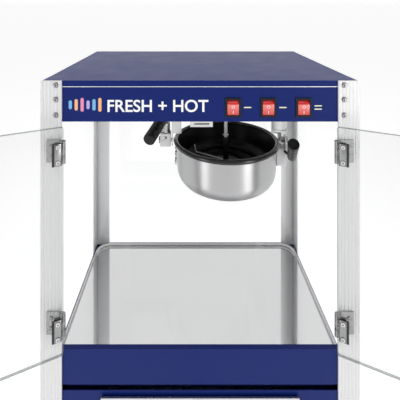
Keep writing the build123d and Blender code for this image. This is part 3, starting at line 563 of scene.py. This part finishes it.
hinge = Vector(joints["door_right_hinge"]["pos_m"])
glass_low, glass_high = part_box("door_glass_right")
hinge_levels = (glass_low.z + 42 * MM, glass_high.z - 42 * MM)
outer = centre_y - 170.2 * MM                        # the closed door's outer face
pane_low, pane_high = (1.5 * MM, glass_low.z), (hinge.x - 0.5 * MM, glass_high.z)
edge = 0.9 * MM
whole = rounded(pane_low, pane_high, 4 * MM)
within = rounded([c + edge for c in pane_low], [c - edge for c in pane_high], 3.1 * MM)
stand = Matrix.Translation((0, outer + 4 * MM, 0)) @ Matrix.Rotation(pi / 2, 4, "X")
for side, label in ((-1, "left"), (1, "right")):
    body = "door_" + label
    pane = moved(raised(within, 4 * MM, stand), swing(side))
    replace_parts(piece("door_pane_" + label, pane, materials["clear_glass"], body), "door_glass_" + label)
    ground_edge = moved(ring_plate(whole, within, 4 * MM, stand), swing(side))
    piece("door_edge_" + label, ground_edge, glass_edge, body)
    leaves, pads, counters, screws, marks = [], [], [], [], []
    for z in hinge_levels:
        leaves.append(plate((hinge.x - 14 * MM, outer - 1.5 * MM, z - 18 * MM),
                            (hinge.x - 3.6 * MM, outer, z + 18 * MM)))
        leaves.append(turned(mm([(0, -6), (3.3, -6), (3.5, -5.7), (3.5, 5.7), (3.3, 6), (0, 6)]),
                             Matrix.Translation((hinge.x, hinge.y, z)), 32))
        leaves.append(plate((hinge.x - 4 * MM, outer - 1.5 * MM, z - 5.8 * MM),
                            (hinge.x, outer - 0.1 * MM, z + 5.8 * MM)))
        inside = outer + 4 * MM
        pads.append(plate((hinge.x - 17.5 * MM, inside, z - 18 * MM),
                          (hinge.x - 3 * MM, inside + 0.8 * MM, z + 18 * MM)))
        counters.append(plate((hinge.x - 14 * MM, inside + 0.8 * MM, z - 17 * MM),
                              (hinge.x - 4 * MM, inside + 2.3 * MM, z + 17 * MM)))
        for step in (-12, 12):
            spot = Vector((hinge.x - 9 * MM, inside + 2.3 * MM, z + step * MM))
            head, mark = pan_head(3.2 * MM, 1.6 * MM, along(spot, spot + Vector((0, 1, 0))))
            screws.append(head)
            marks.append(mark)
    knob_at = Vector((23.5 * MM, outer, (glass_low.z + glass_high.z) / 2))
    knob = [(0, 0), (5.5, 0), (5.5, 1.5), (3, 2.4), (3, 8)] + arc((6.5, 10.5), 2.5, -90, 0, 4)
    knob += arc((6.2, 17), 2.8, 0, 90, 4) + [(0, 19.9)]
    knob_mesh = turned(mm(knob), along(knob_at, knob_at + Vector((0, -1, 0))), 48)
    place = swing(side)
    metal = piece("hinge_leaves_" + label, moved(joined(*leaves, *counters), place), hinge_steel, body)
    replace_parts(metal, "door_hinges_" + label)
    piece("hinge_pads_" + label, moved(joined(*pads), place), materials["black_rubber"], body)
    piece("hinge_screws_" + label, moved(joined(*screws), place), satin_steel, body)
    # The hinge screws' painted shade: dark cross marks and seat shadows.
    piece("hinge_screw_painted_shades_" + label, moved(joined(*marks), place), dark_steel_and_painted_shade, body)
    knob_piece = piece("door_knob_turned_" + label, moved(knob_mesh, place), materials["bright_steel"], body)
    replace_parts(knob_piece, "door_knob_" + label)

# ---- cart: drawer knob, wheels, tyres, handle sleeve -----------------------------------------
knob_low, knob_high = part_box("drawer_knob")
knob_at = Vector(((knob_low.x + knob_high.x) / 2, knob_high.y, (knob_low.z + knob_high.z) / 2))
knob = [(0, 0), (7, 0), (7, 1.5), (4, 3), (4, 8)] + arc((8, 11), 3, -90, 0, 4) + arc((7.5, 19), 3.3, 0, 90, 4)
knob_mesh = turned(mm(knob + [(0, 23.5)]), along(knob_at, knob_at + Vector((0, -1, 0))), 48)
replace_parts(piece("drawer_knob_turned", knob_mesh, materials["bright_steel"], "drawer"), "drawer_knob")


def wheel(side, label):
    """A spoked wheel with a rolled rim and turned hub, and its solid tyre with a grooved tread."""
    hub = Vector(joints[f"wheel_{label}_spin"]["pos_m"])
    outward = along(hub, hub + Vector((side, 0, 0)))
    tyre_low, tyre_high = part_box("tyre_" + label)
    radius = (tyre_high.z - tyre_low.z) / 2 / MM
    rim = [(177.5, -10.8), (185.8, -10.8), (185.8, 10.8), (177.5, 10.8), (175.6, 8), (178.4, 4), (178.4, -4),
           (175.6, -8), (177.5, -10.8)]
    centre = [(8.4, -18), (15, -18), (16.5, -16.5), (16.5, -11), (23, -8), (24, -6), (24, 6), (23, 8),
              (16.5, 11), (16.5, 16.5), (15, 18), (8.4, 18), (8.4, -18)]
    meshes = [turned(mm(rim), outward, 144), turned(mm(centre), outward, 64)]
    for k in range(12):
        ray = outward.to_3x3() @ Vector((cos(pi * k / 6), sin(pi * k / 6), 0))
        spoke = [(0, 0), (4, 0), (4, 5), (3.2, 9), (3.2, 145), (3.9, 150), (3.9, 157), (0, 157)]
        meshes.append(turned(mm(spoke), along(hub + ray * 22 * MM, hub + ray * 180 * MM), 20))
    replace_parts(piece("spoked_wheel_" + label, joined(*meshes), materials["wheel_enamel"], "wheel_" + label),
                "wheel_" + label)
    tread = [(186, -12.9), (192, -12.9)] + arc((radius - 8, -4.9), 7.9, -90, 0, 6) + [(radius - 0.1, -3.6)]
    tread += [(radius - 1.6, -3.2), (radius - 1.6, -2.2), (radius, -1.8), (radius, 1.8), (radius - 1.6, 2.2),
              (radius - 1.6, 3.2), (radius - 0.1, 3.6)]
    tread += arc((radius - 8, 4.9), 7.9, 0, 90, 6) + [(192, 12.9), (186, 12.9), (186, -12.9)]
    tyre_mesh = turned(mm(tread), outward, 160)
    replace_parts(piece("treaded_tyre_" + label, tyre_mesh, materials["tyre"], "wheel_" + label),
                "tyre_" + label)


for side, label in ((-1, "left"), (1, "right")):
    wheel(side, label)

sleeve_low, sleeve_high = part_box("handle_sleeve")
length, outer_radius = (sleeve_high.x - sleeve_low.x) / MM, (sleeve_high.z - sleeve_low.z) / 2 / MM
profile = [(12.6, 0), (outer_radius - 1.5, 0), (outer_radius, 1.5)]
for k in range(1, 22):
    z = length * k / 22
    profile += [(outer_radius, z - 1.6), (outer_radius - 0.9, z - 0.7), (outer_radius - 0.9, z + 0.7),
                (outer_radius, z + 1.6)]
profile += [(outer_radius, length - 1.5), (outer_radius - 1.5, length), (12.6, length), (12.6, 0)]
sleeve_at = Vector((sleeve_low.x, (sleeve_low.y + sleeve_high.y) / 2, (sleeve_low.z + sleeve_high.z) / 2))
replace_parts(piece("sleeve_ribbed", turned(mm(profile), along(sleeve_at, sleeve_at + Vector((1, 0, 0))), 64),
                  materials["black_rubber"], "frame", smooth=50), "handle_sleeve")

# ---- deck's lip ------------------------------------------------------------------------------
deck_low, deck_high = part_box("deck_tray")
wall = 1.25 * MM
corner_radius = 34 * MM
plan = [rounded((deck_low.x + inset, deck_low.y + inset), (deck_high.x - inset, deck_high.y - inset),
                corner_radius - inset, 16)
        for inset in (wall, wall + 0.3 * MM)]
# A thin pale band on the lip's inner face, in the tray's shade: a painted highlight.
lip = ring_plate(*plan, 4.6 * MM, Matrix.Translation((0, 0, deck_high.z - 6.4 * MM)))
piece("deck_lip_painted_highlight", lip, aluminium_painted_light, "frame")

# ---- lamp ------------------------------------------------------------------------------------
lamp_low, lamp_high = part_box("lamp_shade")
lamp_x, lamp_y = (lamp_low.x + lamp_high.x) / 2, (lamp_low.y + lamp_high.y) / 2
tall = (lamp_high.z - lamp_low.z) / MM
cone = [(9.2, 0), (13.6, 0), (14, 0.5), (14, 3), (13, 3.5), (12.6, 4)]
cone += [(25.7, tall - 0.6), (25.4, tall - 0.2), (24.2, tall - 0.2), (11.2, 4), (9.2, 3.2), (9.2, 0)]
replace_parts(piece("lamp_cone", turned(mm(cone), Matrix.Translation((lamp_x, lamp_y, lamp_low.z)), 72),
                  satin_steel, "frame"), "lamp_shade")

# ---- studio ----------------------------------------------------------------------------------
floor_mesh = bmesh.new()
bmesh.ops.create_grid(floor_mesh, x_segments=2, y_segments=2, size=2000)
floor_data = bpy.data.meshes.new("floor")
floor_mesh.to_mesh(floor_data)
floor_mesh.free()
floor = bpy.data.objects.new("floor", floor_data)
bpy.context.scene.collection.objects.link(floor)
floor_gap = 0.5 * MM                                 # keeps the floor just clear of the tyres
floor.location.z = -floor_gap
white = bpy.data.materials.new("studio white")
white.use_nodes = True
paint = white.node_tree.nodes["Principled BSDF"]
paint.inputs["Base Color"].default_value = (0.9, 0.9, 0.9, 1)
paint.inputs["Roughness"].default_value = 0.9
paint.inputs["Emission Color"].default_value = (1, 1, 1, 1)
paint.inputs["Emission Strength"].default_value = 0.42
floor_data.materials.append(white)

world = bpy.data.worlds.new("studio")
bpy.context.scene.world = world
world.use_nodes = True
sky, sky_links = world.node_tree.nodes, world.node_tree.links
sky["Background"].inputs["Color"].default_value = (1, 1, 1, 1)
ahead, depth_of, fade = (sky.new("ShaderNode" + kind) for kind in ("TexCoord", "SeparateXYZ", "MapRange"))
fade.inputs["From Min"].default_value = -0.1
fade.inputs["From Max"].default_value = 0.45
fade.inputs["To Min"].default_value = 0.30
fade.inputs["To Max"].default_value = 1.0
sky_links.new(ahead.outputs["Generated"], depth_of.inputs["Vector"])
sky_links.new(depth_of.outputs["Y"], fade.inputs["Value"])
sky_links.new(fade.outputs["Result"], sky["Background"].inputs["Strength"])


def softbox(name, place, aim, size, power):
    """A soft square light that looks at a point."""
    data = bpy.data.lights.new(name, "AREA")
    data.shape = "RECTANGLE"
    data.size, data.size_y = size
    data.energy = power
    made = bpy.data.objects.new(name, data)
    made.location = place
    made.rotation_euler = (Vector(aim) - Vector(place)).to_track_quat("-Z", "Y").to_euler()
    bpy.context.scene.collection.objects.link(made)


target = (0, centre_y, header_low.z - 0.15)
softbox("left softbox", (-2.5, -2.1, 1.5), target, (0.8, 2.8), 25)
softbox("right softbox", (2.15, -2.5, 1.5), target, (0.9, 2.8), 33)
softbox("top softbox", (0, -0.8, 3.6), target, (2.5, 2.5), 25)

# ---- camera ----------------------------------------------------------------------------------
camera_data = bpy.data.cameras.new("camera")
camera_data.sensor_width = 36.0
camera_data.lens = 31.05
camera_data.shift_x = 0.03125
camera_data.shift_y = -0.492
camera_data.clip_end = 5000.0
camera = bpy.data.objects.new("camera", camera_data)
camera.location = (-20 * MM, centre_y - 721 * MM, header_low.z + 190 * MM)
camera.rotation_euler = (pi / 2, 0, 0)
bpy.context.scene.collection.objects.link(camera)
bpy.context.scene.camera = camera
bpy.context.scene.view_settings.view_transform = "Standard"
